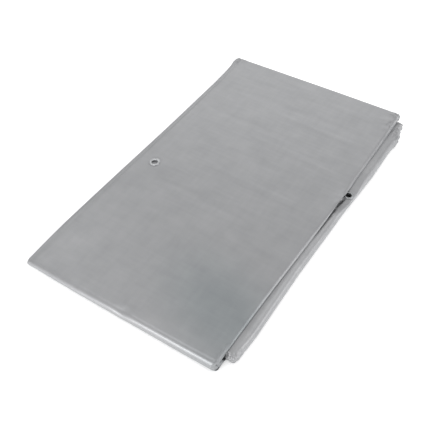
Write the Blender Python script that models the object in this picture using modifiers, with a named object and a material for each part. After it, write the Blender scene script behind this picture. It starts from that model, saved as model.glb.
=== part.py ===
"""A folded tarp: one woven sheet folded back and forth, with an eyelet in each hem band that shows."""
import math
from collections import namedtuple

import bmesh
import bpy
from mathutils import Vector

# All sizes are in metres. X runs across the pack, Y along it and Z up.
# The origin is on the floor under the middle of the pack.
SHEET = 0.0012
GAP = 0.0005
SEAM_GAP = 0.0006

# The top of the pack is a tilted plane with a soft crown, lower at its left edge and at its left
# front corner, within a radius.
MIDDLE_HEIGHT = 0.0265
RISE_ACROSS = 0.0266
RISE_ALONG = 0.0129
CROWN = 0.0025
HALF_WIDTH = 0.2059
HALF_LENGTH = 0.3485
EDGE_DROOP = 0.0020
EDGE_DROOP_WIDTH = 0.020
Corner = namedtuple("Corner", "x y radius rise")
LOW_CORNER = Corner(-HALF_WIDTH, -HALF_LENGTH, 0.110, -0.0033)

# The layers lie at ten levels. Each keeps a least pitch, and the spare height is shared out.
# At the right back corner more of it goes to the top fold, which is loose there.
LEAST_PITCH = 0.0016
SPARE_SHARES = (0.0, 0.06, 0.17, 0.29, 0.41, 0.53, 0.66, 0.79, 0.81, 1.0)
TOP_LEVEL = 9
UNDER_TOP_LEVEL = 8
SHOULDER_LEVEL = 7
LOOSE_CORNER = Corner(0.1900, HALF_LENGTH, 0.180, 0.35)

# The sheet's way through the pack: each row is the fold, or free end, that a layer starts from.
# crest is the Y of its outermost line, left and right are the sheet's edges there, and level_after
# is the level of the layer that follows. Two of the front folds lie nested in a wider one, so
# their crests follow from that one's. A fold bulges by a share of its opening's half height and a
# little more, or less if it is nested, and its two ends are pinched in by another share. Only the
# top turns' folds start along a slanting line.
Turn = namedtuple("Turn", "side crest left right level_after")
TURNS = (
    Turn("back", 0.3320, -0.1950, 0.1700, 0),
    Turn("front", -0.3476, -0.2052, 0.1732, 9),
    Turn("back", 0.3479, -0.2075, 0.1848, 8),
    Turn("front", None, -0.2002, 0.1682, 1),
    Turn("back", 0.3300, -0.1850, 0.1895, 2),
    Turn("front", -0.3180, -0.1840, 0.1795, 7),
    Turn("back", 0.3410, -0.1780, 0.1800, 6),
    Turn("front", None, -0.1825, 0.1780, 3),
    Turn("back", 0.3180, -0.1790, 0.1935, 4),
    Turn("front", -0.3060, -0.1835, 0.1775, 5),
    Turn("back", 0.3250, -0.1830, 0.1860, None),
)
TOP_TURNS = (1, 2)
NESTED_IN = {3: 1, 7: 5}
FOLD_BULGE = 0.65
LEAST_BULGE = 0.0005
NESTED_BULGE = -0.0001
FOLD_PINCH = 0.28
FOLD_STEPS = 8
RUN_STATIONS = (0.0, 0.05, 0.15, 0.25, 0.35, 0.45, 0.52, 0.60, 0.68, 0.76, 0.85, 0.92, 1.0)
WIDTH_STATIONS = (0.0, 0.05, 0.10, 0.165, 0.30, 0.45, 0.60, 0.75, 0.88, 0.94, 0.965, 0.982, 1.0)

# The edges of the two top layers at shares of their length from the front. The layer under the
# top one is a little narrower, but for the share of its length next to the back fold.
Edges = namedtuple("Edges", "share left right")
TOP_EDGES = (
    Edges(0.00, -0.2052, 0.1732),
    Edges(0.05, -0.2061, 0.1748),
    Edges(0.15, -0.2061, 0.1762),
    Edges(0.25, -0.2057, 0.1780),
    Edges(0.35, -0.2050, 0.1805),
    Edges(0.52, -0.2034, 0.1850),
    Edges(0.60, -0.2029, 0.1872),
    Edges(0.68, -0.2029, 0.1853),
    Edges(0.85, -0.2031, 0.1862),
    Edges(0.92, -0.2048, 0.1858),
    Edges(1.00, -0.2075, 0.1848),
)
UNDER_TOP_INSET = 0.0050
INSET_FADE = 0.15

# The hem band in the top layer fills a notch at that layer's left edge.
TOP_SEAM = 0.165
TOP_BAND_START = 0.05
TOP_BAND_END = 0.92

# The shoulder is the layer under the two top ones: right of SHOULDER_X it slopes down. Its hem
# band starts at a seam under the top layers and runs to a bend, and from there curls down to the
# foot of the pack's side and round the corner to its front. bend and foot are X, and reach is how
# far the curl stands out between them.
SIDE_SEAM = 0.982
SHOULDER_X = 0.1740
SHOULDER_SLOPE = 0.07
Side = namedtuple("Side", "y bend foot reach")
SIDES = (
    Side(-0.3100, 0.1862, 0.1862, 0.0060),
    Side(-0.2600, 0.1880, 0.1888, 0.0060),
    Side(-0.2000, 0.1880, 0.1881, 0.0060),
    Side(-0.1200, 0.1876, 0.1878, 0.0060),
    Side(-0.0500, 0.1893, 0.1891, 0.0060),
    Side(0.0300, 0.1920, 0.1905, 0.0060),
    Side(0.0600, 0.1990, 0.1925, 0.0030),
    Side(0.1000, 0.1998, 0.1958, 0.0030),
    Side(0.1300, 0.1972, 0.1962, 0.0050),
    Side(0.1700, 0.1973, 0.1980, 0.0060),
    Side(0.2450, 0.1970, 0.1978, 0.0060),
    Side(0.2900, 0.1973, 0.1994, 0.0060),
    Side(0.3100, 0.1950, 0.2000, 0.0055),
    Side(0.3250, 0.1975, 0.1950, 0.0040),
    Side(0.3410, 0.1960, 0.1900, 0.0040),
)
SIDE_START = -0.3130
SIDE_END = 0.3370
PLAN_RADIUS = 0.0030
FRONT_ROWS = 3
CORNER_ROWS = 4
LEAST_SLOPE = 0.0015
STATION_SPACING = 0.045
SLOPE_STEPS = 4
CURL_FOOT = 0.0006
CURL_START = math.radians(10)
CURL_END = math.radians(145)
CURL_STEPS = 8

# Eyelets: a turned ring with a domed face, a barrel through the cloth and a flange below it.
BORE_RADIUS = 0.0056
RING_RADIUS = 0.0095
BARREL_RADIUS = 0.0063
FLANGE_RADIUS = 0.0075
FLANGE_DEPTH = 0.0006
FLANGE_CHAMFER = 0.0003
FACE_RISE = 0.0012
FacePoint = namedtuple("FacePoint", "across up")
FACE_POINTS = (
    FacePoint(0.0, 0.5),
    FacePoint(0.175, 0.9),
    FacePoint(0.5, 1.0),
    FacePoint(0.825, 0.8),
    FacePoint(1.0, 0.3),
)
RING_STEPS = 32
HOLE_RADIUS = BARREL_RADIUS + GAP
CUTTER_DEPTH = 0.02
CUTTER_SIDES = 32
Eyelet = namedtuple("Eyelet", "x y level")
TOP_EYELET = Eyelet(x=-0.1590, y=-0.0405, level=TOP_LEVEL)
SIDE_EYELET = Eyelet(x=0.1918, y=0.0822, level=SHOULDER_LEVEL)

# Finishes: base colour, metallic and roughness.
CLOTH_FINISH = ((0.37, 0.38, 0.39), 0.0, 0.42)
METAL_FINISH = ((0.70, 0.70, 0.71), 1.0, 0.30)


def smooth(t):
    """A soft step from 0 to 1 as t goes from 0 to 1."""
    t = min(1.0, max(0.0, t))
    return t * t * (3 - 2 * t)


def blend(a, b, t):
    return a + (b - a) * t


def corner_rise(corner, x, y):
    """What a corner adds at x and y: its whole rise at the corner, nothing at its radius."""
    return corner.rise * smooth(1 - math.hypot(x - corner.x, y - corner.y) / corner.radius)


def pack_height(x, y):
    """Height of the pack's top face above the floor."""
    height = MIDDLE_HEIGHT + RISE_ACROSS * x + RISE_ALONG * y
    height += CROWN * (1 - (x / HALF_WIDTH) ** 2) * (1 - (y / HALF_LENGTH) ** 2)
    height -= EDGE_DROOP * smooth((EDGE_DROOP_WIDTH - HALF_WIDTH - x) / EDGE_DROOP_WIDTH)
    return height + corner_rise(LOW_CORNER, x, y)


def level_height(level, x, y):
    """Height of the middle of the cloth at one level."""
    height = pack_height(x, y)
    spare = max(0.0, height - SHEET - TOP_LEVEL * LEAST_PITCH)
    share = SPARE_SHARES[level]
    if level < TOP_LEVEL:
        share *= 1 - corner_rise(LOOSE_CORNER, x, y)
    if level >= UNDER_TOP_LEVEL:
        return height - SHEET / 2 - (TOP_LEVEL - level) * LEAST_PITCH - (1 - share) * spare
    middle = SHEET / 2 + level * LEAST_PITCH + share * spare
    if level == SHOULDER_LEVEL:
        middle -= SHOULDER_SLOPE * max(0.0, x - SHOULDER_X)
    return middle


def half_opening(number, x, y):
    """Half the height between the two layers that a fold joins."""
    before, after = fold_heights(number, x, y)
    return abs(after - before) / 2


def fold_heights(number, x, y):
    """Heights of the layers before and after a fold."""
    levels = (TURNS[number - 1].level_after, TURNS[number].level_after)
    return [level_height(level, x, y) for level in levels]


def fold_bulge(number, x, y):
    """How far a fold reaches beyond the ends of its two layers."""
    more = NESTED_BULGE if number in NESTED_IN else LEAST_BULGE
    return FOLD_BULGE * half_opening(number, x, y) + more


def spring_line(number, v):
    """The Y where a layer ends and its fold begins, at share v of the sheet's width."""
    if number in (0, len(TURNS) - 1):
        return TURNS[number].crest
    outer = NESTED_IN.get(number, number)
    turn = TURNS[outer]
    x = blend(turn.left, turn.right, v if outer in TOP_TURNS else SIDE_SEAM)
    inward = 1 if turn.side == "front" else -1
    return turn.crest + inward * fold_bulge(outer, x, turn.crest)


def from_table(table, place):
    """A table's further columns at a place along its first, blended between rows."""
    for near, far in zip(table, table[1:]):
        if place <= far[0]:
            t = max(0.0, (place - near[0]) / (far[0] - near[0]))
            return [blend(a, b, t) for a, b in zip(near[1:], far[1:])]
    return table[-1][1:]


def edge_line(number, s):
    """The sheet's left and right edges at share s of a layer, from its front to its back."""
    level = TURNS[number].level_after
    if level >= UNDER_TOP_LEVEL:
        left, right = from_table(TOP_EDGES, s)
        if level == UNDER_TOP_LEVEL:
            inset = UNDER_TOP_INSET * smooth((1 - s) / INSET_FADE)
            return left + inset, right - inset
        return left, right
    front, back = TURNS[number], TURNS[number + 1]
    if front.side == "back":
        front, back = back, front
    return blend(front.left, back.left, s), blend(front.right, back.right, s)


def run_point(number, v, s):
    """A point on the layer that follows a turn, s going from the layer's front to its back."""
    springs = (spring_line(number, v), spring_line(number + 1, v))
    if TURNS[number].side == "back":
        springs = springs[::-1]
    left, right = edge_line(number, s)
    x = blend(left, right, v)
    y = blend(springs[0], springs[1], s)
    return Vector((x, y, level_height(TURNS[number].level_after, x, y)))


def fold_point(number, v, t):
    """A point on a fold, t going from 0 on the layer before it to 1 on the layer after it."""
    turn = TURNS[number]
    x = blend(turn.left, turn.right, v)
    y = spring_line(number, v)
    before, after = fold_heights(number, x, y)
    outward = -1 if turn.side == "front" else 1
    angle = math.pi * t
    z = (before + after) / 2 + (before - after) / 2 * math.cos(angle)
    x += FOLD_PINCH * half_opening(number, x, y) * math.sin(angle) * (1 - 2 * v)
    return Vector((x, y + outward * fold_bulge(number, x, y) * math.sin(angle), z))


def run_stations(number):
    """Shares along a layer in the order that the sheet runs through it."""
    if TURNS[number].side == "front":
        return RUN_STATIONS
    return RUN_STATIONS[::-1]


def in_notch(number, v, s):
    """Whether the middle of a cell lies where a hem band takes the sheet's place."""
    level = TURNS[number].level_after
    if level == TOP_LEVEL:
        return v < TOP_SEAM and TOP_BAND_START < s < TOP_BAND_END
    return level == SHOULDER_LEVEL and v > SIDE_SEAM


def material(name, finish):
    colour, metallic, roughness = finish
    made = bpy.data.materials.new(name)
    made.use_nodes = True
    shader = made.node_tree.nodes["Principled BSDF"]
    shader.inputs["Base Color"].default_value = (*colour, 1.0)
    shader.inputs["Metallic"].default_value = metallic
    shader.inputs["Roughness"].default_value = roughness
    return made


def add_object(name, mesh, collection):
    made = bpy.data.objects.new(name, mesh)
    collection.objects.link(made)
    return made


def cloth_object(name, rows, skipped, collection, finish):
    """A sheet through rows of points, without the skipped cells, given its thickness by Solidify."""
    bm = bmesh.new()
    grid = [[bm.verts.new(point) for point in row] for row in rows]
    for i in range(len(grid) - 1):
        for j in range(len(grid[0]) - 1):
            if (i, j) not in skipped:
                bm.faces.new((grid[i][j], grid[i + 1][j], grid[i + 1][j + 1], grid[i][j + 1]))
    loose = [vert for vert in bm.verts if not vert.link_faces]
    bmesh.ops.delete(bm, geom=loose, context="VERTS")
    mesh = bpy.data.meshes.new(name)
    bm.to_mesh(mesh)
    bm.free()
    mesh.materials.append(finish)
    made = add_object(name, mesh, collection)
    solidify = made.modifiers.new("Thickness", "SOLIDIFY")
    solidify.thickness = SHEET
    solidify.offset = 0.0
    solidify.use_even_offset = True
    mesh.shade_smooth()
    return made


def build_tarp(collection, finish):
    """The whole folded sheet but for its two hem bands."""
    rows, skipped = [], set()
    middles = [(v + next_v) / 2 for v, next_v in zip(WIDTH_STATIONS, WIDTH_STATIONS[1:])]
    for number in range(len(TURNS) - 1):
        if number > 0:
            for step in range(1, FOLD_STEPS):
                rows.append([fold_point(number, v, step / FOLD_STEPS) for v in WIDTH_STATIONS])
        if TURNS[number].level_after == SHOULDER_LEVEL:
            for row in range(len(rows) - FOLD_STEPS, len(rows)):
                skipped |= {(row, j) for j, v in enumerate(middles) if v > SIDE_SEAM}
        stations = run_stations(number)
        for station, following in zip(stations, stations[1:]):
            for j, v in enumerate(middles):
                if in_notch(number, v, (station + following) / 2):
                    skipped.add((len(rows), j))
            rows.append([run_point(number, v, station) for v in WIDTH_STATIONS])
        rows.append([run_point(number, v, stations[-1]) for v in WIDTH_STATIONS])
    return cloth_object("tarp_sheet", rows, skipped, collection, finish)


def run_of_level(level):
    """The number of the turn that the layer at this level follows."""
    return next(number for number, turn in enumerate(TURNS) if turn.level_after == level)


def between(first, last, stations):
    """The stations that lie between two others."""
    return [station for station in stations if first < station < last]


def build_top_band(collection, finish):
    """The hem band in the top layer, along the pack's left edge."""
    number = run_of_level(TOP_LEVEL)
    left, right = edge_line(number, 0.5)
    across, along = SEAM_GAP / (right - left), SEAM_GAP / (2 * HALF_LENGTH)
    widths = [0.0, *between(0.0, TOP_SEAM, WIDTH_STATIONS), TOP_SEAM - across]
    inner = between(TOP_BAND_START, TOP_BAND_END, RUN_STATIONS)
    lengths = [TOP_BAND_START + along, *inner, TOP_BAND_END - along]
    rows = [[run_point(number, v, s) for v in widths] for s in lengths]
    return cloth_object("hem_band_top", rows, set(), collection, finish)


def level_point(level, x, y):
    return Vector((x, y, level_height(level, x, y)))


def side_row(seam, bend, outward, foot_offset, reach):
    """The band's points from its seam across the shoulder to the bend and down to the foot."""
    row = []
    for step in range(SLOPE_STEPS):
        flat = seam.lerp(bend, step / SLOPE_STEPS)
        row.append(level_point(SHOULDER_LEVEL, flat.x, flat.y))
    top = level_height(SHOULDER_LEVEL, bend.x, bend.y)
    for step in range(CURL_STEPS + 1):
        angle = blend(CURL_START, CURL_END, step / CURL_STEPS)
        down = (1 - math.cos(angle)) / 2
        flat = bend + outward * (foot_offset * down + reach * math.sin(angle))
        row.append(Vector((flat.x, flat.y, blend(top, CURL_FOOT, down))))
    return row


def side_stations(start):
    """The Y of the band's rows along the pack's side: at the table's rows and between them."""
    table_places = [side.y for side in SIDES if start < side.y < SIDE_END]
    places = [start, *table_places, SIDE_END]
    stations = []
    for near, far in zip(places, places[1:]):
        parts = math.ceil((far - near) / STATION_SPACING)
        stations += [blend(near, far, part / parts) for part in range(parts)]
    return [*stations, SIDE_END]


def side_rows(seam_x):
    """The band's rows: along the pack's front, round its corner and along its side."""
    corner_y = SIDE_START + PLAN_RADIUS
    bend_x, foot_x, reach = from_table(SIDES, corner_y)
    middle = Vector((bend_x - PLAN_RADIUS, corner_y))
    bends = []
    for step in range(FRONT_ROWS):
        x = blend(seam_x, middle.x, step / FRONT_ROWS)
        bends.append((Vector((x, SIDE_START)), Vector((0, -1))))
    for step in range(CORNER_ROWS):
        angle = math.radians(90) * step / CORNER_ROWS
        outward = Vector((math.sin(angle), -math.cos(angle)))
        bends.append((middle + outward * PLAN_RADIUS, outward))
    rows = []
    for number, (bend, outward) in enumerate(bends):
        seam_y = blend(SIDE_START + LEAST_SLOPE, corner_y, number / len(bends))
        rows.append(side_row(Vector((seam_x, seam_y)), bend, outward, foot_x - bend_x, reach))
    for y in side_stations(corner_y):
        bend_x, foot_x, reach = from_table(SIDES, y)
        rows.append(side_row(Vector((seam_x, y)), Vector((bend_x, y)), Vector((1, 0)),
                             foot_x - bend_x, reach))
    return rows


def build_side_band(collection, finish):
    """The hem band on the shoulder, down to the floor at the pack's side and front corner."""
    left, right = edge_line(run_of_level(SHOULDER_LEVEL), 1.0)
    rows = side_rows(blend(left, right, SIDE_SEAM) + SEAM_GAP)
    return cloth_object("hem_band_side", rows, set(), collection, finish)


def place(made, eyelet):
    """Puts an object in the middle of an eyelet's hole, square to the cloth there."""
    x, y, level = eyelet
    step = RING_RADIUS
    along_x = level_point(level, x + step, y) - level_point(level, x - step, y)
    along_y = level_point(level, x, y + step) - level_point(level, x, y - step)
    made.location = level_point(level, x, y)
    made.rotation_mode = "QUATERNION"
    made.rotation_quaternion = Vector((0, 0, 1)).rotation_difference(along_x.cross(along_y))


def ring_profile():
    """The eyelet's section, from the bore's foot up over the domed face and round to the flange."""
    face = SHEET / 2 + GAP
    foot = -face - FLANGE_DEPTH
    points = [(BORE_RADIUS, foot)]
    for point in FACE_POINTS:
        points.append((blend(BORE_RADIUS, RING_RADIUS, point.across), face + point.up * FACE_RISE))
    points += [(RING_RADIUS, face), (BARREL_RADIUS, face), (BARREL_RADIUS, -face)]
    points += [(FLANGE_RADIUS, -face), (FLANGE_RADIUS, foot + FLANGE_CHAMFER)]
    return [*points, (FLANGE_RADIUS - FLANGE_CHAMFER, foot)]


def build_eyelet(name, eyelet, collection, finish):
    """A ring turned from its closed profile by a Screw modifier."""
    bm = bmesh.new()
    verts = [bm.verts.new((radius, 0.0, height)) for radius, height in ring_profile()]
    for first, second in zip(verts, verts[1:] + verts[:1]):
        bm.edges.new((first, second))
    mesh = bpy.data.meshes.new(name)
    bm.to_mesh(mesh)
    bm.free()
    mesh.materials.append(finish)
    made = add_object(name, mesh, collection)
    place(made, eyelet)
    screw = made.modifiers.new("Turned", "SCREW")
    screw.steps = RING_STEPS
    screw.render_steps = RING_STEPS
    screw.use_merge_vertices = True
    screw.merge_threshold = 0.00001
    screw.use_smooth_shade = True
    return made


def cut_hole(band, eyelet, cutters):
    """Cuts the eyelet's hole through its band."""
    bm = bmesh.new()
    bmesh.ops.create_cone(bm, cap_ends=True, segments=CUTTER_SIDES, radius1=HOLE_RADIUS,
                          radius2=HOLE_RADIUS, depth=CUTTER_DEPTH)
    mesh = bpy.data.meshes.new(band.name + "_hole")
    bm.to_mesh(mesh)
    bm.free()
    cutter = add_object(mesh.name, mesh, cutters)
    place(cutter, eyelet)
    cutter.hide_render = True
    cutter.display_type = "WIRE"
    cut = band.modifiers.new("Eyelet hole", "BOOLEAN")
    cut.operation = "DIFFERENCE"
    cut.solver = "EXACT"
    cut.object = cutter


def main():
    for old in list(bpy.data.objects):
        bpy.data.objects.remove(old)
    pack = bpy.data.collections.new("folded_tarp")
    cutters = bpy.data.collections.new("cutters")
    for collection in (pack, cutters):
        bpy.context.scene.collection.children.link(collection)
    build_tarp(pack, material("tarp_cloth", CLOTH_FINISH))
    top_band = build_top_band(pack, material("top_band_cloth", CLOTH_FINISH))
    side_band = build_side_band(pack, material("side_band_cloth", CLOTH_FINISH))
    cut_hole(top_band, TOP_EYELET, cutters)
    cut_hole(side_band, SIDE_EYELET, cutters)
    build_eyelet("eyelet_top", TOP_EYELET, pack, material("top_eyelet_metal", METAL_FINISH))
    build_eyelet("eyelet_side", SIDE_EYELET, pack, material("side_eyelet_metal", METAL_FINISH))


main()
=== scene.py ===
"""How the folded tarp looks, on a pale floor in soft studio light, from the photo's camera.

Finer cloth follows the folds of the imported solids, and turned metal rings are its eyelets.
"""

import math
from collections import namedtuple

import bmesh
import bpy
from mathutils import Matrix, Vector, noise


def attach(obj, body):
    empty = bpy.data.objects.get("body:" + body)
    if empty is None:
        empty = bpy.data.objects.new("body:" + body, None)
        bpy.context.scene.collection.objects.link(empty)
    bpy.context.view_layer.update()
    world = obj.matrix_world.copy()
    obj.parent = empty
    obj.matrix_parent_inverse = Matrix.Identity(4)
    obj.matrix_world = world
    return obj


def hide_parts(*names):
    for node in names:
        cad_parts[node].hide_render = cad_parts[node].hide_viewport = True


# All sizes are in metres, in the frame's own axes. The layers and folds are those of the solids,
# fitted to the photo more closely.
SHEET = 0.0012
MIDDLE_HEIGHT = 0.0265
RISE_ACROSS = 0.0266
RISE_ALONG = 0.0129
CROWN = 0.0025
HALF_WIDTH = 0.2059
HALF_LENGTH = 0.3485
EDGE_DROOP = 0.0020
EDGE_DROOP_WIDTH = 0.020
Corner = namedtuple("Corner", "x y radius rise")
LOW_CORNER = Corner(-HALF_WIDTH, -HALF_LENGTH, 0.110, -0.0033)
FRONT_DROOP = 0.0001
DROOP_START = -0.3290
DROOP_LENGTH = 0.012
# The layers lie at least LEAST_PITCH apart, and the height to spare is shared out between them.
LEAST_PITCH = 0.0016
SPARE_SHARES = (0.0, 0.06, 0.17, 0.29, 0.41, 0.53, 0.66, 0.79, 0.81, 1.0)
TOP_LEVEL = 9
UNDER_TOP_LEVEL = 8
SHOULDER_LEVEL = 7
# Near this corner the layers below the top one lie lower, which leaves the spare height above them.
LOOSE_CORNER = Corner(0.1900, HALF_LENGTH, 0.180, 0.35)
# The sheet's two ends and its folds in order: the side it turns at, how far out its crest lies there,
# its left and right ends, and the level of the layer after it. A nested fold takes its crest from the
# fold around it, and the front fold's is in FRONTS.
Turn = namedtuple("Turn", "side crest left right level_after")
TURNS = (
    Turn("back", 0.3320, -0.1950, 0.1700, 0),
    Turn("front", None, -0.2052, 0.1732, 9),
    Turn("back", 0.3479, -0.2098, 0.1862, 8),
    Turn("front", None, -0.2002, 0.1684, 1),
    Turn("back", 0.3300, -0.1850, 0.1895, 2),
    Turn("front", -0.3180, -0.1840, 0.1795, 7),
    Turn("back", 0.3410, -0.1780, 0.1800, 6),
    Turn("front", None, -0.1825, 0.1780, 3),
    Turn("back", 0.3180, -0.1790, 0.1935, 4),
    Turn("front", -0.3060, -0.1835, 0.1775, 5),
    Turn("back", 0.3250, -0.1830, 0.1860, None),
)
TOP_TURNS = (1, 2)
NESTED_IN = {3: 1, 7: 5}
FRONT_FOLD = 1
FOLD_BULGE = 0.65
# The front fold from left to right: the Y of its crest, and its bulge in halves of its opening.
Front = namedtuple("Front", "x crest bulge")
FRONTS = (
    Front(-0.2052, -0.3468, 1.25),
    Front(-0.1500, -0.3481, 1.30),
    Front(-0.1000, -0.3490, 1.30),
    Front(-0.0300, -0.3486, 0.95),
    Front(0.0500, -0.3479, 0.74),
    Front(0.1100, -0.3478, 0.72),
    Front(0.1732, -0.3470, 0.72),
)
LEAST_BULGE = 0.0005
NESTED_BULGE = -0.0001
FOLD_PINCH = 0.28
# The top layer's edges, at shares of its length from front to back.
Edges = namedtuple("Edges", "share left right")
TOP_EDGES = (
    Edges(0.00, -0.2052, 0.1732),
    Edges(0.05, -0.2061, 0.1748),
    Edges(0.15, -0.2061, 0.1762),
    Edges(0.25, -0.2057, 0.1780),
    Edges(0.35, -0.2050, 0.1805),
    Edges(0.52, -0.2034, 0.1844),
    Edges(0.60, -0.2029, 0.1864),
    Edges(0.68, -0.2029, 0.1853),
    Edges(0.85, -0.2031, 0.1862),
    Edges(0.92, -0.2048, 0.1858),
    Edges(0.955, -0.2070, 0.1854),
    Edges(0.975, -0.2100, 0.1851),
    Edges(1.00, -0.2098, 0.1862),
)
# The layer under the top one is inset from those edges, less and less towards the back fold.
UNDER_TOP_INSET = 0.0050
INSET_FADE = 0.15
# The share of the top layer's length at which its columns are spaced, beside its eyelet.
EYELET_SHARE = 0.44
# The shoulder sinks beside the top layers' lifted edge, over TROUGH_WIDTH to each side.
Sink = namedtuple("Sink", "y depth x")
TROUGH = (
    Sink(-0.0500, 0.0, 0.1800),
    Sink(0.0000, 0.0034, 0.1803),
    Sink(0.0380, 0.0074, 0.1819),
    Sink(0.0580, 0.0110, 0.1848),
    Sink(0.0680, 0.0100, 0.1866),
    Sink(0.0740, 0.0, 0.1864),
)
TROUGH_WIDTH = 0.0044

# A lower layer reaches further out below the side eyelet.
FLAP_LEVEL = 2
FLAP_SHARE = 0.61
FLAP_SPAN = 0.12
FLAP_REACH = 0.0090
# The side band takes over from the sheet at these shares of its width, on the shoulder and at the
# shoulder's fold. The shoulder slopes down from SHOULDER_X outwards.
SIDE_SEAM = 0.88
FOLD_SEAM = 0.982
SHOULDER_X = 0.1740
SHOULDER_SLOPE = 0.07
# Towards the front the shoulder rounds over into the side, from ROUND_X outwards.
ROUND_X = 0.1775
ROUND_CURVE = 22.0
ROUND_END = 0.060
ROUND_FADE = 0.060
# The side band: the X of its bend and foot, and how far it bulges out between them.
Side = namedtuple("Side", "y bend foot reach")
SIDES = (
    Side(-0.3100, 0.1857, 0.1857, 0.0058),
    Side(-0.2600, 0.1880, 0.1888, 0.0060),
    Side(-0.2000, 0.1880, 0.1881, 0.0060),
    Side(-0.1200, 0.1876, 0.1878, 0.0060),
    Side(-0.0500, 0.1893, 0.1891, 0.0060),
    Side(0.0300, 0.1920, 0.1905, 0.0060),
    Side(0.0600, 0.1990, 0.1925, 0.0030),
    Side(0.1000, 0.1998, 0.1958, 0.0030),
    Side(0.1300, 0.1972, 0.1962, 0.0050),
    Side(0.1700, 0.1973, 0.1980, 0.0060),
    Side(0.2450, 0.1970, 0.1978, 0.0060),
    Side(0.2680, 0.1970, 0.1984, 0.0060),
    Side(0.2820, 0.1996, 0.2008, 0.0060),
    Side(0.2900, 0.1986, 0.2000, 0.0060),
    Side(0.3000, 0.1974, 0.1990, 0.0060),
    Side(0.3100, 0.1950, 0.2000, 0.0055),
    Side(0.3250, 0.1928, 0.1914, 0.0040),
    Side(0.3410, 0.1960, 0.1900, 0.0040),
)
SIDE_START = -0.3124
SIDE_END = 0.3370
PLAN_RADIUS = 0.0030
LEAST_SLOPE = 0.0015
CURL_FOOT = 0.0006
CURL_START = math.radians(10)
CURL_END = math.radians(145)
SHOULDER_EASE = 1.5

# The eyelets: a domed face on the cloth, a barrel through it and a flange below it. A flange's upper
# and lower edges are shares of its ring's radius.
BORE_RADIUS = 0.0056
FACE_GAP = 0.0002
DOME_HEIGHT = 0.0013
DOME_STEPS = 12
FACE_LIP = 0.0004
BARREL_WALL = 0.0007
FLANGE_DEPTH = 0.0008
FLANGE_TOP_SHARE = 0.95
FLANGE_FOOT_SHARE = 0.9
RING_STEPS = 48
CLOTH_HOLE = 0.0072
# A hole is cut in the eyelet's own layer, and the layer below is further down than this.
HOLE_REACH = 0.0018
Eyelet = namedtuple("Eyelet", "x y level ring")
TOP_EYELET = Eyelet(x=-0.1613, y=-0.0397, level=TOP_LEVEL, ring=0.0107)
SIDE_EYELET = Eyelet(x=0.1902, y=0.0828, level=SHOULDER_LEVEL, ring=0.0095)

# The finer grid: how far apart its lines are, in metres, on the top layer, on hidden layers and
# near an eyelet. RIM_COLUMNS lie at these distances from the rolled edge, and FRONT_ROWS and BACK_ROW
# are further rows at these distances from a hidden layer's ends.
TOP_ROW = 0.0045
FINE_ROW = 0.0016
SIDE_ROW = 0.0040
HIDDEN_ROW = 0.040
FRONT_ROWS = (0.012, 0.016, 0.020, 0.024, 0.028, 0.032)
BACK_ROW = 0.012
FINE_COLUMN = 0.0011
RIM_COLUMNS = (0.0030, 0.0019, 0.0011, 0.0005, 0.00015)
SHARP_ANGLE = math.radians(50)
WIDE_COLUMN = 0.0075
EDGE_ZONE = 0.014
EYELET_ZONE = 0.014
FINE_SHARE = 0.6
FOLD_STEPS = 14
SHOULDER_STEPS = 18
CURL_STEPS = 16
FRONT_STEPS = 6
CORNER_STEPS = 12

# The top layer's right edge rolls down by its drop over its width, and is lifted over LIFT_WIDTH.
# Behind LOWER_FRONT the roll ends where its middle is SHEET and its clear above the shoulder's.
# FOLD_DROP is the roll of the two top folds.
Rim = namedtuple("Rim", "y drop width lift clear")
RIMS = (
    Rim(-0.3500, 0.0066, 0.0042, 0.0, 0.0003),
    Rim(-0.3240, 0.0066, 0.0042, 0.0, 0.0003),
    Rim(-0.3160, 0.0034, 0.0042, 0.0, 0.0003),
    Rim(-0.2800, 0.0034, 0.0046, 0.0, 0.0003),
    Rim(-0.0500, 0.0034, 0.0046, 0.0, 0.0003),
    Rim(0.0000, 0.0022, 0.0046, 0.0004, 0.0006),
    Rim(0.0350, 0.0004, 0.0046, 0.0016, 0.0006),
    Rim(0.0600, 0.0000, 0.0046, 0.0024, 0.0006),
    Rim(0.0700, 0.0006, 0.0046, 0.0016, 0.0006),
    Rim(0.0770, 0.0022, 0.0046, 0.0, 0.0003),
    Rim(0.0930, 0.0026, 0.0046, 0.0, 0.0003),
    Rim(0.1000, 0.0060, 0.0046, 0.0, -0.0002),
    Rim(0.1300, 0.0070, 0.0046, 0.0, -0.00045),
    Rim(0.2400, 0.0110, 0.0046, 0.0, -0.00045),
    Rim(0.3200, 0.0110, 0.0046, 0.0, -0.00045),
    Rim(0.3500, 0.0030, 0.0046, 0.0, -0.00045),
)
LOWER_FRONT = -0.3200
LIFT_WIDTH = 0.022
FOLD_DROP = 0.0062
FOLD_DROP_FADE = 0.7

# At the front the layer under the top one has an inset of its own at its right, and the layer at
# HUMP_LEVEL stands up into the wrap's open end.
FLUSH_INSET = 0.0048
FLUSH_SHARE = 0.07
HUMP_LEVEL = 1
HUMPED_FOLD = 3
HUMPED_INSET = 0.0019
HUMP_HEIGHT = 0.0145
HUMP_X = 0.1500
HUMP_WIDTH = 0.022
HUMP_Y = -0.3200
HUMP_LENGTH = 0.007
HUMP_REACH = 0.0052
HUMP_EDGE = 0.1738
HUMP_ROLL = 0.0070
HUMP_FADE = 0.09
HUMP_STEEPNESS = 1.5
HUMP_ROLL_SHARE = 0.9
HUMP_CRUMPLE = 2.0
CAP_ROLL = 0.0028
CAP_SHARE = 0.85
# The humped fold reaches out at its right tip, from this share of its turn and of its width on.
TIP_TURN = 0.05
TIP_TURN_FADE = 0.4
TIP_WIDTH = 0.9
TIP_WIDTH_FADE = 0.1

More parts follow.
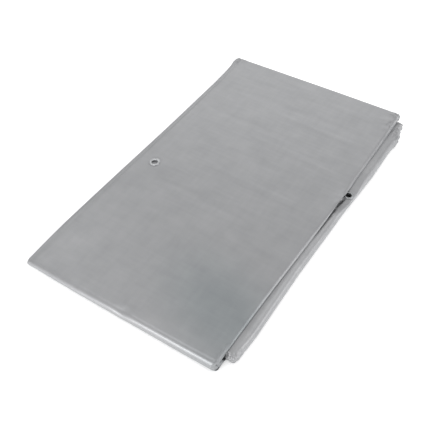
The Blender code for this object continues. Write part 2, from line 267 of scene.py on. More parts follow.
# The hem's rope raises a bead along the left edge, with one groove on its inner side. Both grow over
# BEAD_FADE from BEAD_START on.
BEAD_MIDDLE = 0.0062
BEAD_WIDTH = 0.0080
BEAD_HEIGHT = 0.0015
BEAD_START = -0.33
BEAD_FADE = 0.25
GROOVE_MIDDLE = 0.0112
GROOVE_WIDTH = 0.0022
GROOVE_DEPTH = 0.0002

# Soft bumps and dents of the top layer: where, how wide and how far up.
Bump = namedtuple("Bump", "x y across along rise")
BUMPS = (
    Bump(-0.1975, 0.3440, 0.020, 0.014, 0.0014),
    Bump(-0.2100, 0.3490, 0.010, 0.012, -0.0012),
    Bump(-0.2003, 0.3407, 0.006, 0.004, -0.0014),
    Bump(-0.2012, 0.3300, 0.006, 0.004, -0.0014),
    Bump(-0.0020, -0.3450, 0.022, 0.014, -0.0022),
    Bump(-0.0150, -0.3440, 0.010, 0.010, 0.0007),
    Bump(0.1780, 0.3380, 0.010, 0.008, 0.0010),
    Bump(0.1800, 0.0790, 0.006, 0.006, 0.0010),
    Bump(0.1815, 0.0430, 0.007, 0.005, 0.0012),
    Bump(0.1790, 0.0560, 0.009, 0.005, -0.0007),
)
# Soft creases of the top layer, from one end to the other: how far to each side and up. They fade
# over CREASE_FADE of their length at each end.
CREASE_FADE = 0.25
Crease = namedtuple("Crease", "x y end_x end_y width rise")
CREASES = (
    Crease(-0.1900, 0.3000, 0.1750, 0.2930, 0.012, 0.00045),
    Crease(-0.1900, 0.2400, 0.1650, 0.2380, 0.012, -0.00045),
    Crease(-0.0600, 0.2150, 0.1750, 0.2050, 0.010, 0.00055),
    Crease(-0.1900, 0.1600, 0.0800, 0.1500, 0.012, -0.00045),
    Crease(-0.0500, 0.1250, 0.1700, 0.1100, 0.012, 0.00045),
    Crease(-0.1850, 0.0700, 0.1500, 0.0550, 0.014, -0.00030),
    Crease(-0.1000, 0.0100, 0.1600, -0.0050, 0.012, 0.00045),
    Crease(-0.1850, -0.0700, 0.0700, -0.0800, 0.012, -0.00050),
    Crease(-0.1000, -0.1300, 0.1400, -0.1500, 0.014, 0.00030),
    Crease(-0.1700, -0.2000, 0.1000, -0.2200, 0.014, -0.00030),
    Crease(-0.0500, -0.2700, 0.1200, -0.2800, 0.012, 0.00025),
    Crease(0.1580, 0.0200, 0.1180, -0.3200, 0.022, -0.00110),
    Crease(0.1450, -0.1700, 0.0500, -0.3300, 0.018, -0.00060),
    Crease(0.1660, -0.3450, 0.1680, -0.3100, 0.0016, -0.00050),
)
# Rings of pulled cloth around the top eyelet.
Pucker = namedtuple("Pucker", "radius width rise")
PUCKERS = (
    Pucker(0.0128, 0.0026, -0.00030),
    Pucker(0.0165, 0.0030, 0.00025),
)
# Crumpled places of the cloth, above and at the side. On the shoulder they start at CRUMPLE_X and are
# weaker, and at the side they lean up and fade towards the foot. On the top layer none goes further
# down than LOWEST_CRUMPLE.
LOWEST_CRUMPLE = -0.0012
CRUMPLE_X = 0.1800
CRUMPLE_FADE = 0.008
SHOULDER_CRUMPLE = 0.4
CRUMPLE_LEAN = 0.4
FOOT_FADE = 0.25
Crumple = namedtuple("Crumple", "x y radius rise scale")
CRUMPLES = (
    Crumple(0.1850, 0.3420, 0.022, 0.0030, 300.0),
    Crumple(0.2020, 0.3150, 0.056, 0.0060, 170.0),
    Crumple(0.1900, -0.3120, 0.034, 0.0034, 230.0),
    Crumple(-0.2040, 0.3440, 0.016, 0.0016, 300.0),
    Crumple(-0.1590, -0.0440, 0.020, 0.0005, 330.0),
    Crumple(0.1940, 0.0700, 0.020, 0.0012, 260.0),
    Crumple(0.1760, -0.3400, 0.016, 0.0020, 300.0),
)

# The camera, fitted to the photo, and the photo's pixels.
CAMERA_PLACE = Vector((0.4171, -0.75232, 0.87335))
CAMERA_FORWARD = Vector((-0.35337, 0.57384, -0.73881))
CAMERA_UP = Vector((-0.40673, 0.61696, 0.67374))
FOCAL_PIXELS = 644.3
PHOTO_PIXELS = 430
SENSOR = 36.0
CLIP_START = 0.01

# The cloth's finish: its blotches and streaks run from dark to light, and one soft oval patch of it
# is darkened and tinted as painted shade.
CLOTH_ROUGHNESS = 0.42
CLOTH_METALLIC = 0.45
CLOTH_SPECULAR = 0.3
Blotch = namedtuple("Blotch", "scale share")
BLOTCHES = (
    Blotch((22, 30, 22), 1.3),
    Blotch((20, 110, 60), 0.75),
    Blotch((110, 20, 60), 0.75),
)
BLOTCH_DETAIL = 3.0
BLOTCH_OFFSET = -0.9
SHADE_PATCH_SOFTNESS = 0.9
WEAVE_SCALE = 100.0 / math.pi
WEAVE_DISTORTION = 0.6
WEAVE_DETAIL = 1.0
WEAVE_STRENGTH = 0.12
WEAVE_DEPTH = 0.0002
FinishAndShade = namedtuple("FinishAndShade", "name dark light patch_at patch_turn patch_size patch_tint")
# The top cloth's patch is painted shade at the front right, over the shallow trough there.
TOP_FINISH_AND_SHADE = FinishAndShade(
    name="tarp_cloth", dark=(0.350, 0.354, 0.364), light=(0.410, 0.413, 0.422),
    patch_at=(0.135, -0.262), patch_turn=math.radians(-25), patch_size=(0.200, 0.115),
    patch_tint=(0.80, 0.845, 0.852))
# Painted light: the side band's colours are the top cloth's made about 6 % lighter, to lift the
# shoulder out of the top layers' shade.
SIDE_FINISH_LIT_AND_SHADED = FinishAndShade(
    name="side_cloth", dark=(0.372, 0.376, 0.386), light=(0.444, 0.447, 0.456),
    # Painted shade: this patch darkens the side face towards the back, which catches less of the
    # light than the front does.
    patch_at=(0.2120, 0.230), patch_turn=0, patch_size=(0.014, 0.200),
    patch_tint=(0.72, 0.73, 0.74))

# The metal's finish, finely grained.
GRAIN_SCALE = 900.0
Metal = namedtuple("Metal", "name dark light roughness")
TOP_METAL = Metal("top_eyelet_metal", (0.46, 0.47, 0.48), (0.60, 0.61, 0.62), 0.42)
# Painted shade: the side ring's metal is a darker copy of the top ring's, as that ring lies partly
# under the top layer's edge.
SHADED_SIDE_METAL = Metal("side_eyelet_metal", (0.38, 0.39, 0.40), (0.48, 0.49, 0.50), 0.5)

# The studio: soft boxes, each at a place and turned to a target, a pale floor and a white world.
Light = namedtuple("Light", "name place target size power")
LIGHTS = (
    Light("front_box", (-0.25, -2.05, 0.20), (0.05, -0.34, 0.01), (0.9, 0.36), 13),
    Light("left_box", (-0.95, -1.05, 0.30), (-0.15, -0.3, 0), (0.7, 0.4), 1.3),
    Light("back_box", (-1.0, 2.1, 1.3), (0, 0.1, 0), (2.4, 1.2), 9.5),
    Light("side_box", (1.90, 0.65, 0.75), (0.17, -0.1, 0), (1.1, 0.9), 9.5),
    Light("top_box", (-0.3, -0.5, 2.4), (-0.05, -0.05, 0), (1.6, 1.6), 13.5),
    Light("near_box", (-1.00, 0.16, 0.95), (-0.25, -0.3, 0), (0.5, 0.5), 0.80),
    Light("rim_box", (0.97, 0.63, 1.15), (0.18, -0.12, 0.03), (0.6, 0.6), 2.0),
)
FLOOR_SIZE = 6.0
FLOOR_TONE = (0.95, 0.95, 0.95, 1)
FLOOR_ROUGHNESS = 0.9
FLOOR_GLOW = 0.42
WORLD_GLOW = 0.50
WHITE = (1, 1, 1, 1)


def smooth(t):
    """A soft step from 0 to 1 as t goes from 0 to 1."""
    t = min(1.0, max(0.0, t))
    return t * t * (3 - 2 * t)


def blend(a, b, t):
    """The value at share t of the way from a to b."""
    return a + (b - a) * t


def corner_rise(corner, x, y):
    """What a corner adds at x and y: its whole rise at the corner, nothing at its radius."""
    return corner.rise * smooth(1 - math.hypot(x - corner.x, y - corner.y) / corner.radius)


def pack_height(x, y):
    """Height of the pack's top face above the floor."""
    height = MIDDLE_HEIGHT + RISE_ACROSS * x + RISE_ALONG * y
    height += CROWN * (1 - (x / HALF_WIDTH) ** 2) * (1 - (y / HALF_LENGTH) ** 2)
    height -= EDGE_DROOP * smooth((EDGE_DROOP_WIDTH - HALF_WIDTH - x) / EDGE_DROOP_WIDTH)
    height -= FRONT_DROOP * (max(0.0, DROOP_START - y) / DROOP_LENGTH) ** 2
    return height + corner_rise(LOW_CORNER, x, y)


def level_height(level, x, y):
    """Height of the middle of the cloth at one level."""
    height = pack_height(x, y)
    spare = max(0.0, height - SHEET - TOP_LEVEL * LEAST_PITCH)
    share = SPARE_SHARES[level]
    if level < TOP_LEVEL:
        share *= 1 - corner_rise(LOOSE_CORNER, x, y)
    if level >= UNDER_TOP_LEVEL:
        return height - SHEET / 2 - (TOP_LEVEL - level) * LEAST_PITCH - (1 - share) * spare
    middle = SHEET / 2 + level * LEAST_PITCH + share * spare
    if level == SHOULDER_LEVEL:
        middle -= SHOULDER_SLOPE * max(0.0, x - SHOULDER_X)
        rounding = ROUND_CURVE * smooth((ROUND_END - y) / ROUND_FADE)
        middle -= rounding * max(0.0, x - ROUND_X) ** 2
        depth, trough_x = from_table(TROUGH, y)
        middle -= depth * smooth(1 - abs(x - trough_x) / TROUGH_WIDTH)
    return middle


def hump_rise(x, y):
    """How far the layer at HUMP_LEVEL stands up into the wrap's open end."""
    hump = smooth((x - HUMP_X) / HUMP_WIDTH) * smooth((HUMP_Y - y) / HUMP_LENGTH)
    return HUMP_HEIGHT * hump * (1 - HUMP_ROLL_SHARE * rim_roll(HUMP_EDGE - x, HUMP_ROLL))


def half_opening(number, x, y):
    """Half the height between the two layers that a fold joins."""
    before, after = fold_heights(number, x, y)
    return abs(after - before) / 2


def fold_heights(number, x, y):
    """Heights of the layers before and after a fold."""
    levels = (TURNS[number - 1].level_after, TURNS[number].level_after)
    return [level_height(level, x, y) for level in levels]


def fold_bulge(number, x, y):
    """How far a fold reaches beyond the ends of its two layers."""
    if number == HUMPED_FOLD:
        return fold_bulge(NESTED_IN[number], x, y) - HUMPED_INSET
    more = NESTED_BULGE if number in NESTED_IN else LEAST_BULGE
    bulge = from_table(FRONTS, x)[1] if number == FRONT_FOLD else FOLD_BULGE
    return bulge * half_opening(number, x, y) + more


def spring_line(number, v):
    """The Y where a layer ends and its fold begins, at share v of the sheet's width."""
    if number in (0, len(TURNS) - 1):
        return TURNS[number].crest
    outer = NESTED_IN.get(number, number)
    turn = TURNS[outer]
    x = blend(turn.left, turn.right, v if outer in TOP_TURNS else SIDE_SEAM)
    inward = 1 if turn.side == "front" else -1
    crest = from_table(FRONTS, x)[0] if outer == FRONT_FOLD else turn.crest
    return crest + inward * fold_bulge(outer, x, crest)


def from_table(table, place):
    """A table's further columns at a place along its first, blended between rows."""
    for near, far in zip(table, table[1:]):
        if place <= far[0]:
            t = max(0.0, (place - near[0]) / (far[0] - near[0]))
            return [blend(a, b, t) for a, b in zip(near[1:], far[1:])]
    return table[-1][1:]


def edge_line(number, s):
    """The sheet's left and right edges at share s of a layer, from its front to its back."""
    level = TURNS[number].level_after
    if level >= UNDER_TOP_LEVEL:
        left, right = from_table(TOP_EDGES, s)
        if level == UNDER_TOP_LEVEL:
            inset = UNDER_TOP_INSET * smooth((1 - s) / INSET_FADE)
            return left + inset, right - blend(FLUSH_INSET, inset, smooth(s / FLUSH_SHARE))
        return left, right
    front, back = TURNS[number], TURNS[number + 1]
    if front.side == "back":
        front, back = back, front
    right = blend(front.right, back.right, s)
    if level == HUMP_LEVEL:
        right += HUMP_REACH * smooth(HUMP_STEEPNESS * (1 - s / HUMP_FADE))
    if level == FLAP_LEVEL:
        right += FLAP_REACH * smooth(1 - abs(s - FLAP_SHARE) / FLAP_SPAN)
    return blend(front.left, back.left, s), right


def rim_roll(from_edge, width):
    """How far down the rolled right edge is, as a share of its drop, so far from the edge."""
    u = min(1.0, max(0.0, 1 - from_edge / width))
    return 1 - math.sqrt(1 - u * u)


def bead(from_edge):
    """The height of the hem rope's bead so far from the left edge."""
    u = (from_edge - BEAD_MIDDLE) / (BEAD_WIDTH / 2)
    groove = GROOVE_DEPTH * smooth(1 - abs(from_edge - GROOVE_MIDDLE) / GROOVE_WIDTH)
    return BEAD_HEIGHT * math.sqrt(max(0.0, 1 - u * u)) - groove


def crease_rise(x, y):
    """What the bumps, creases and rings of pulled cloth add to the top layer's height."""
    rise = 0.0
    for bump in BUMPS:
        away = math.hypot((x - bump.x) / bump.across, (y - bump.y) / bump.along)
        rise += bump.rise * smooth(1 - away)
    for crease in CREASES:
        run_x, run_y = crease.end_x - crease.x, crease.end_y - crease.y
        length = math.hypot(run_x, run_y)
        along = ((x - crease.x) * run_x + (y - crease.y) * run_y) / length ** 2
        off = ((x - crease.x) * run_y - (y - crease.y) * run_x) / length
        ends = smooth(along / CREASE_FADE) * smooth((1 - along) / CREASE_FADE)
        rise += crease.rise * smooth(1 - abs(off) / crease.width) * ends
    from_eyelet = math.hypot(x - TOP_EYELET.x, y - TOP_EYELET.y)
    for ring in PUCKERS:
        rise += ring.rise * smooth(1 - abs(from_eyelet - ring.radius) / ring.width)
    return rise


def crumple_rise(point):
    """How far the cloth is crumpled up or down at a point."""
    rise = 0.0
    for crumple in CRUMPLES:
        away = math.hypot(point.x - crumple.x, point.y - crumple.y) / crumple.radius
        if away < 1:
            rise += crumple.rise * smooth(1 - away) * noise.noise(point * crumple.scale)
    return rise


def run_point(number, v, s):
    """A point on the layer that follows a turn, s going from the layer's front to its back."""
    level = TURNS[number].level_after
    springs = (spring_line(number, v), spring_line(number + 1, v))
    if TURNS[number].side == "back":
        springs = springs[::-1]
    left, right = edge_line(number, s)
    x = blend(left, right, v)
    y = blend(springs[0], springs[1], s)
    z = level_height(level, x, y)
    if level == TOP_LEVEL:
        drop, width, lift, clear = from_table(RIMS, y)
        if y > LOWER_FRONT:
            drop = min(drop, z - level_height(SHOULDER_LEVEL, x, y) - SHEET - clear)
        z += bead(x - left) * smooth((y - BEAD_START) / BEAD_FADE)
        z -= drop * rim_roll(right - x, width)
        z += lift * smooth(1 - (right - x) / LIFT_WIDTH) + crease_rise(x, y)
        z += max(LOWEST_CRUMPLE, crumple_rise(Vector((x, y, z))))
    if level == HUMP_LEVEL:
        crumpled = HUMP_CRUMPLE * crumple_rise(Vector((x, y, z)))
        z = max(z + hump_rise(x, y) + crumpled, level_height(0, x, y) + LEAST_PITCH)
    return Vector((x, y, z))


def fold_point(number, v, t):
    """A point on a fold, t going from 0 on the layer before it to 1 on the layer after it."""
    turn = TURNS[number]
    x = blend(turn.left, turn.right, v)
    y = spring_line(number, v)
    before, after = fold_heights(number, x, y)
    half = abs(after - before) / 2
    outward = -1 if turn.side == "front" else 1
    angle = math.pi * t
    inward = 0.0
    if number in TOP_TURNS:
        inward = min(FOLD_DROP, half) * rim_roll(turn.right - x, RIMS[0].width)
        towards_top = t if number == FRONT_FOLD else 1 - t
        inward *= smooth(towards_top / FOLD_DROP_FADE)
    scale = (half - inward) / half
    if number == HUMPED_FOLD:
        scale *= 1 - CAP_SHARE * rim_roll(turn.right - x, CAP_ROLL)
    z = (before + after) / 2 + (before - after) / 2 * math.cos(angle) * scale
    x += FOLD_PINCH * half * math.sin(angle) * (1 - 2 * v)
    if number == HUMPED_FOLD:
        tip = smooth((t - TIP_TURN) / TIP_TURN_FADE) * smooth((v - TIP_WIDTH) / TIP_WIDTH_FADE)
        x += HUMP_REACH * tip
    reach = fold_bulge(number, x, y) - inward
    if number == HUMPED_FOLD:
        reach *= scale
    point = Vector((x, y + outward * reach * math.sin(angle), z))
    if number in TOP_TURNS:
        fall = level_height(TOP_LEVEL, point.x, point.y) - level_height(TOP_LEVEL, x, y)
        rise = crease_rise(point.x, point.y) + max(LOWEST_CRUMPLE, crumple_rise(point))
        point.z += smooth(towards_top) * (fall + rise)
    return point


def refined(start, end, spots, wide, fine, zone):
    """Places from start to end: fine apart within a zone of each spot and wide apart elsewhere."""
    places = [start]
    while places[-1] < end:
        here = places[-1]
        near = min((abs(here - spot) for spot in spots), default=math.inf)
        step = blend(fine, wide, smooth((near - FINE_SHARE * zone) / zone))
        places.append(here + step)
    places[-1] = end
    if places[-1] - places[-2] < fine / 2:
        places.pop(-2)
    return places


def column_shares():
    """The grid's columns as shares of the sheet's width."""
    left, right = from_table(TOP_EDGES, EYELET_SHARE)
    spots = [left, TOP_EYELET.x, right]
    places = refined(left, right, spots, WIDE_COLUMN, FINE_COLUMN, EDGE_ZONE)
    inner = [place for place in places if place < right - RIM_COLUMNS[0] - FINE_COLUMN / 2]
    places = inner + [right - away for away in RIM_COLUMNS] + [right]
    return [(place - left) / (right - left) for place in places]


def row_shares(number):
    """The grid's rows along a layer as shares of its length, in the order the sheet runs."""
    level = TURNS[number].level_after
    length = 2 * HALF_LENGTH
    if level == TOP_LEVEL:
        spots = [-HALF_LENGTH, TOP_EYELET.y, HALF_LENGTH]
        places = refined(-HALF_LENGTH, HALF_LENGTH, spots, TOP_ROW, FINE_ROW, EYELET_ZONE)
    else:
        places = refined(-HALF_LENGTH, HALF_LENGTH, [], HIDDEN_ROW, HIDDEN_ROW, EYELET_ZONE)
        extra = [-HALF_LENGTH + away for away in FRONT_ROWS] + [HALF_LENGTH - BACK_ROW]
        places = sorted(places + extra)
    shares = [(place + HALF_LENGTH) / length for place in places]
    return shares if TURNS[number].side == "front" else shares[::-1]


def round_hole(bm, eyelet, radius):
    """Removes an eyelet's own layer within a radius of it and rounds the edge of the hole."""
    height = level_height(eyelet.level, eyelet.x, eyelet.y)
    near = []
    for face in bm.faces:
        middle = face.calc_center_median()
        away = math.hypot(middle.x - eyelet.x, middle.y - eyelet.y)
        if away < radius and abs(middle.z - height) < HOLE_REACH:
            near.append(face)
    rim = {v for f in near for v in f.verts}
    bmesh.ops.delete(bm, geom=near, context="FACES")
    for vert in rim:
        if not vert.is_valid or not vert.link_faces:
            continue
        away = Vector((vert.co.x - eyelet.x, vert.co.y - eyelet.y))
        away = away.normalized() * radius
        vert.co.x = eyelet.x + away.x
        vert.co.y = eyelet.y + away.y
    loose = [vert for vert in bm.verts if not vert.link_faces]
    bmesh.ops.delete(bm, geom=loose, context="VERTS")


def add_object(name, data):
    """An object with the given data, in the scene."""
    made = bpy.data.objects.new(name, data)
    bpy.context.scene.collection.objects.link(made)
    return made


def mesh_object(name, bm, finish):
    """An object with one material from a bmesh, which is freed."""
    mesh = bpy.data.meshes.new(name)
    bm.to_mesh(mesh)
    bm.free()
    mesh.materials.append(finish)
    return add_object(name, mesh)


def cloth_piece(name, rows, eyelet, finish, skipped=()):
    """A sheet through rows of points, with an eyelet's hole, and Solidify's thickness."""
    bm = bmesh.new()
    grid = [[bm.verts.new(point) for point in row] for row in rows]
    for i, (row, next_row) in enumerate(zip(grid, grid[1:])):
        for j in range(len(row) - 1):
            if (i, j) not in skipped:
                bm.faces.new((row[j], next_row[j], next_row[j + 1], row[j + 1]))
    round_hole(bm, eyelet, CLOTH_HOLE)
    made = mesh_object(name, bm, finish)
    thin = made.data
    thin.shade_smooth()
    solidify = made.modifiers.new("Thickness", "SOLIDIFY")
    solidify.thickness = SHEET
    solidify.offset = 0.0
    thick = made.evaluated_get(bpy.context.evaluated_depsgraph_get())
    made.data = bpy.data.meshes.new_from_object(thick)
    made.modifiers.clear()
    made.data.set_sharp_from_angle(angle=SHARP_ANGLE)
    bpy.data.meshes.remove(thin)
    made.data.name = name
    return made


def build_cloth(finish):
    """The folded sheet, but for its hem band on the shoulder and side."""
    shares = column_shares()
    middles = [(v + next_v) / 2 for v, next_v in zip(shares, shares[1:])]
    rows, skipped = [], set()
    for number in range(len(TURNS) - 1):
        if number > 0:
            for step in range(1, FOLD_STEPS):
                rows.append([fold_point(number, v, step / FOLD_STEPS) for v in shares])
        if TURNS[number].level_after == SHOULDER_LEVEL:
            for row in range(len(rows) - FOLD_STEPS, len(rows)):
                skipped |= {(row, j) for j, v in enumerate(middles) if v > FOLD_SEAM}
        stations = row_shares(number)
        for k, station in enumerate(stations):
            if TURNS[number].level_after == SHOULDER_LEVEL and k < len(stations) - 1:
                skipped |= {(len(rows), j) for j, v in enumerate(middles) if v > SIDE_SEAM}
            rows.append([run_point(number, v, station) for v in shares])
    return cloth_piece("tarp_cloth", rows, TOP_EYELET, finish, skipped)


def level_point(level, x, y):
    """The point at x and y in the middle of the cloth at one level."""
    return Vector((x, y, level_height(level, x, y)))


def shoulder_share(t):
    """Shares that lie closer together towards 1, where the shoulder bends."""
    return 1 - (1 - t) ** SHOULDER_EASE


def side_row(seam, bend, outward, foot_offset, reach):
    """The band's points from its seam across the shoulder to the bend and down to the foot."""
    row = []
    for i in range(SHOULDER_STEPS):
        flat = seam.lerp(bend, shoulder_share(i / SHOULDER_STEPS))
        point = level_point(SHOULDER_LEVEL, flat.x, flat.y)
        crumpled = smooth((flat.x - CRUMPLE_X) / CRUMPLE_FADE)
        point.z += SHOULDER_CRUMPLE * crumple_rise(point) * crumpled
        row.append(point)
    top = level_height(SHOULDER_LEVEL, bend.x, bend.y)
    out = Vector((outward.x, outward.y, CRUMPLE_LEAN)).normalized()
    for step in range(CURL_STEPS + 1):
        angle = blend(CURL_START, CURL_END, step / CURL_STEPS)
        down = (1 - math.cos(angle)) / 2
        flat = bend + outward * (foot_offset * down + reach * math.sin(angle))
        point = Vector((flat.x, flat.y, blend(top, CURL_FOOT, down)))
        row.append(point + out * crumple_rise(point) * smooth((1 - down) / FOOT_FADE))
    return row


def build_side(finish):
    """The hem band: along the pack's front, round its corner and along its side."""
    number = next(i for i, turn in enumerate(TURNS) if turn.level_after == SHOULDER_LEVEL)
    left, right = edge_line(number, 1.0)
    corner_y = SIDE_START + PLAN_RADIUS
    seam_start = Vector((blend(left, right, FOLD_SEAM), SIDE_START + LEAST_SLOPE))
    seam_end = Vector((blend(left, right, SIDE_SEAM), corner_y))
    bend_x, foot_x, reach = from_table(SIDES, corner_y)
    middle = Vector((bend_x - PLAN_RADIUS, corner_y))
    bends = []
    for step in range(FRONT_STEPS):
        x = blend(seam_start.x, middle.x, step / FRONT_STEPS)
        bends.append((Vector((x, SIDE_START)), Vector((0, -1))))
    for step in range(CORNER_STEPS):
        angle = math.radians(90) * step / CORNER_STEPS
        outward = Vector((math.sin(angle), -math.cos(angle)))
        bends.append((middle + outward * PLAN_RADIUS, outward))
    rows = []
    for k, (bend, outward) in enumerate(bends):
        seam = seam_start.lerp(seam_end, k / len(bends))
        rows.append(side_row(seam, bend, outward, foot_x - bend_x, reach))
    spots = [SIDE_EYELET.y, SIDE_END, SIDE_END - 2 * EYELET_ZONE]
    for y in refined(corner_y, SIDE_END, spots, SIDE_ROW, FINE_ROW, EYELET_ZONE):
        bend_x, foot_x, reach = from_table(SIDES, y)
        rows.append(side_row(Vector((seam_end.x, y)), Vector((bend_x, y)), Vector((1, 0)),
                             foot_x - bend_x, reach))
    return cloth_piece("side_cloth", rows, SIDE_EYELET, finish)


def ring_profile(ring):
    """An eyelet's section as radius and height, from the bore's foot over the face and around."""
    face = SHEET / 2 + FACE_GAP
    foot = -face - FLANGE_DEPTH
    barrel = BORE_RADIUS + BARREL_WALL
    middle, half = (BORE_RADIUS + ring) / 2, (ring - BORE_RADIUS) / 2
    points = [(BORE_RADIUS, foot)]
    for step in range(DOME_STEPS + 1):
        angle = math.pi * (1 - step / DOME_STEPS)
        height = face + FACE_GAP + DOME_HEIGHT * math.sin(angle)
        points.append((middle + half * math.cos(angle), height))
    points += [(ring - FACE_LIP, face - FACE_GAP), (barrel, face - FACE_GAP), (barrel, -face)]
    points += [(ring * FLANGE_TOP_SHARE, -face), (ring * FLANGE_FOOT_SHARE, foot)]
    return points


def build_eyelet(name, eyelet, finish):
    """A turned ring in the middle of an eyelet's hole, square to the cloth there."""
    bm = bmesh.new()
    profile = ring_profile(eyelet.ring)
    grid = []
    for i in range(RING_STEPS):
        angle = 2 * math.pi * i / RING_STEPS
        across, along = math.cos(angle), math.sin(angle)
        grid.append([bm.verts.new((r * across, r * along, h)) for r, h in profile])
    for i in range(RING_STEPS):
        for j in range(len(profile)):
            a, b = grid[i], grid[(i + 1) % RING_STEPS]
            k = (j + 1) % len(profile)
            bm.faces.new((a[j], b[j], b[k], a[k]))
    bmesh.ops.recalc_face_normals(bm, faces=bm.faces)
    made = mesh_object(name, bm, finish)
    made.data.shade_smooth()
    x, y, level, ring = eyelet
    along_x = level_point(level, x + ring, y) - level_point(level, x - ring, y)
    along_y = level_point(level, x, y + ring) - level_point(level, x, y - ring)
    made.location = level_point(level, x, y)
    made.rotation_mode = "QUATERNION"
    made.rotation_quaternion = Vector((0, 0, 1)).rotation_difference(along_x.cross(along_y))
    return made


def new_material(name, **values):
    """A material and its Principled BSDF. Inputs are named with an underscore for each space."""
    made = bpy.data.materials.new(name)
    made.use_nodes = True
    shader = made.node_tree.nodes["Principled BSDF"]
    for words, value in values.items():
        shader.inputs[words.replace("_", " ")].default_value = value
    return made, shader


def add_node(tree, kind, inputs, **settings):
    """A shader node. Each input gets a value, or a link where an output is given for it."""
    node = tree.nodes.new(kind)
    for name, value in settings.items():
        setattr(node, name, value)
    for name, value in inputs.items():
        if isinstance(value, bpy.types.NodeSocket):
            tree.links.new(value, node.inputs[name])
        else:
            node.inputs[name].default_value = value
    return node


def add_ramp(tree, share, dark, light):
    """Colours from dark to light, as a share goes from 0 to 1."""
    ramp = add_node(tree, "ShaderNodeValToRGB", {"Fac": share})
    low, high = ramp.color_ramp.elements
    low.color = (*dark, 1)
    high.color = (*light, 1)
    return ramp.outputs["Color"]


def add_blotches(tree, place):
    """Faint blotches and streaks, along and across."""
    spread = BLOTCH_OFFSET
    for blotch in BLOTCHES:
        stretch = add_node(tree, "ShaderNodeMapping", {"Vector": place, "Scale": blotch.scale})
        spots = add_node(tree, "ShaderNodeTexNoise", {
            "Vector": stretch.outputs["Vector"], "Scale": 1.0, "Detail": BLOTCH_DETAIL})
        added = add_node(tree, "ShaderNodeMath", {
            0: spots.outputs["Fac"], 1: blotch.share, 2: spread}, operation="MULTIPLY_ADD")
        spread = added.outputs[0]
    return spread


def add_painted_shade(tree, place, colour, finish):
    """The colour, darkened and tinted over one soft oval patch of painted shade."""
    oval = add_node(tree, "ShaderNodeMapping", {
        "Vector": place, "Location": (*finish.patch_at, 0), "Rotation": (0, 0, finish.patch_turn),
        "Scale": (*finish.patch_size, 1)}, vector_type="TEXTURE")
    patch = add_node(tree, "ShaderNodeTexGradient", {
        "Vector": oval.outputs["Vector"]}, gradient_type="SPHERICAL")
    soft = add_node(tree, "ShaderNodeMapRange", {
        "Value": patch.outputs["Fac"], "From Max": SHADE_PATCH_SOFTNESS}, interpolation_type="SMOOTHSTEP")
    shade_mix = add_node(tree, "ShaderNodeMix", {}, data_type="RGBA", blend_type="MULTIPLY")
    tree.links.new(soft.outputs["Result"], shade_mix.inputs["Factor"])
    # A colour mix has its two colours at inputs 6 and 7 and its result at output 2.
    tree.links.new(colour, shade_mix.inputs[6])
    shade_mix.inputs[7].default_value = (*finish.patch_tint, 1)
    return shade_mix.outputs[2]


def add_weave(tree, place):
    """The normal of a faint weave: waves that cross at right angles."""
    inputs = {"Strength": WEAVE_STRENGTH, "Distance": WEAVE_DEPTH}
    for axis in ("X", "Y"):
        wave = add_node(tree, "ShaderNodeTexWave", {
            "Vector": place, "Scale": WEAVE_SCALE, "Distortion": WEAVE_DISTORTION,
            "Detail": WEAVE_DETAIL}, bands_direction=axis)
        bump = add_node(tree, "ShaderNodeBump", {"Height": wave.outputs["Fac"], **inputs})
        inputs["Normal"] = bump.outputs["Normal"]
    return inputs["Normal"]


def cloth_material(finish):
    """The tarp's coated cloth, with its patch of painted shade."""
    made, shader = new_material(finish.name, Roughness=CLOTH_ROUGHNESS, Metallic=CLOTH_METALLIC,
                                Specular_IOR_Level=CLOTH_SPECULAR)
    tree = made.node_tree
    place = tree.nodes.new("ShaderNodeNewGeometry").outputs["Position"]
    colour = add_ramp(tree, add_blotches(tree, place), finish.dark, finish.light)
    colour = add_painted_shade(tree, place, colour, finish)
    tree.links.new(colour, shader.inputs["Base Color"])
    tree.links.new(add_weave(tree, place), shader.inputs["Normal"])
    return made


def metal_material(metal):
    """The eyelets' metal."""
    made, shader = new_material(metal.name, Metallic=1.0, Roughness=metal.roughness)
    tree = made.node_tree
    place = tree.nodes.new("ShaderNodeTexCoord").outputs["Object"]
    grain = add_node(tree, "ShaderNodeTexNoise", {"Vector": place, "Scale": GRAIN_SCALE})
    colour = add_ramp(tree, grain.outputs["Fac"], metal.dark, metal.light)
    tree.links.new(colour, shader.inputs["Base Color"])
    return made


def add_light(light):
    """A soft box, turned to its target."""
    data = bpy.data.lights.new(light.name, "AREA")
    data.shape = "RECTANGLE"
    data.size, data.size_y = light.size
    data.energy = light.power
    made = add_object(light.name, data)
    made.location = light.place
    made.rotation_mode = "QUATERNION"
    towards = Vector(light.target) - Vector(light.place)
    made.rotation_quaternion = towards.to_track_quat("-Z", "Y")


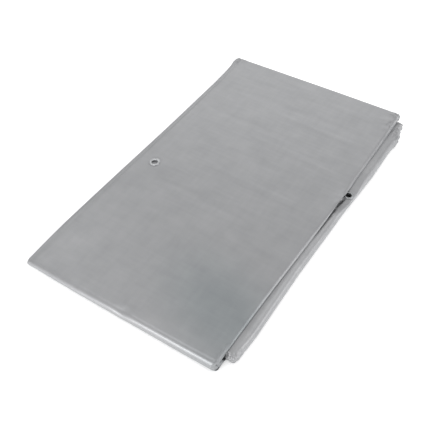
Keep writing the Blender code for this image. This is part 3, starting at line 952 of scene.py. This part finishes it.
def add_floor():
    """The pale floor."""
    finish = new_material("floor_white", Base_Color=FLOOR_TONE, Roughness=FLOOR_ROUGHNESS,
                          Emission_Color=WHITE, Emission_Strength=FLOOR_GLOW)[0]
    bm = bmesh.new()
    bmesh.ops.create_grid(bm, x_segments=1, y_segments=1, size=FLOOR_SIZE)
    mesh_object("floor", bm, finish)


def add_camera():
    """The photo's camera."""
    data = bpy.data.cameras.new("camera")
    data.sensor_fit = "HORIZONTAL"
    data.sensor_width = SENSOR
    data.lens = FOCAL_PIXELS / PHOTO_PIXELS * SENSOR
    data.clip_start = CLIP_START
    made = add_object("camera", data)
    right = CAMERA_FORWARD.cross(CAMERA_UP)
    axes = Matrix((right, CAMERA_UP, -CAMERA_FORWARD)).transposed().to_4x4()
    axes.translation = CAMERA_PLACE
    made.matrix_world = axes
    bpy.context.scene.camera = made


def set_world():
    """The white world and the plain view of its colours."""
    world = bpy.data.worlds.new("studio")
    world.use_nodes = True
    background = world.node_tree.nodes["Background"]
    background.inputs["Color"].default_value = WHITE
    background.inputs["Strength"].default_value = WORLD_GLOW
    bpy.context.scene.world = world
    bpy.context.scene.view_settings.view_transform = "Standard"


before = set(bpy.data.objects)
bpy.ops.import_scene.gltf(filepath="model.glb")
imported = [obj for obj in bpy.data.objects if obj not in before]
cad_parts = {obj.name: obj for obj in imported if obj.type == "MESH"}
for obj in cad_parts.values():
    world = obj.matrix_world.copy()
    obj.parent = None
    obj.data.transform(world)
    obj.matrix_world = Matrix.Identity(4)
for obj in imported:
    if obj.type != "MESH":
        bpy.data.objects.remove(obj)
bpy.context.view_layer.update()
add_camera()
set_world()
add_floor()
for light in LIGHTS:
    add_light(light)

cloth = build_cloth(cloth_material(TOP_FINISH_AND_SHADE))
side = build_side(cloth_material(SIDE_FINISH_LIT_AND_SHADED))
ring_top = build_eyelet("eyelet_top_ring", TOP_EYELET, metal_material(TOP_METAL))
ring_side = build_eyelet("eyelet_side_ring", SIDE_EYELET, metal_material(SHADED_SIDE_METAL))
for piece, nodes, slot in (
    (cloth, ("tarp_sheet", "hem_band_top"), "tarp_cloth"),
    (side, ("hem_band_side",), "tarp_cloth"),
    (ring_top, ("eyelet_top",), "eyelet_metal"),
    (ring_side, ("eyelet_side",), "eyelet_metal"),
):
    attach(piece, "root")
    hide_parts(*nodes)
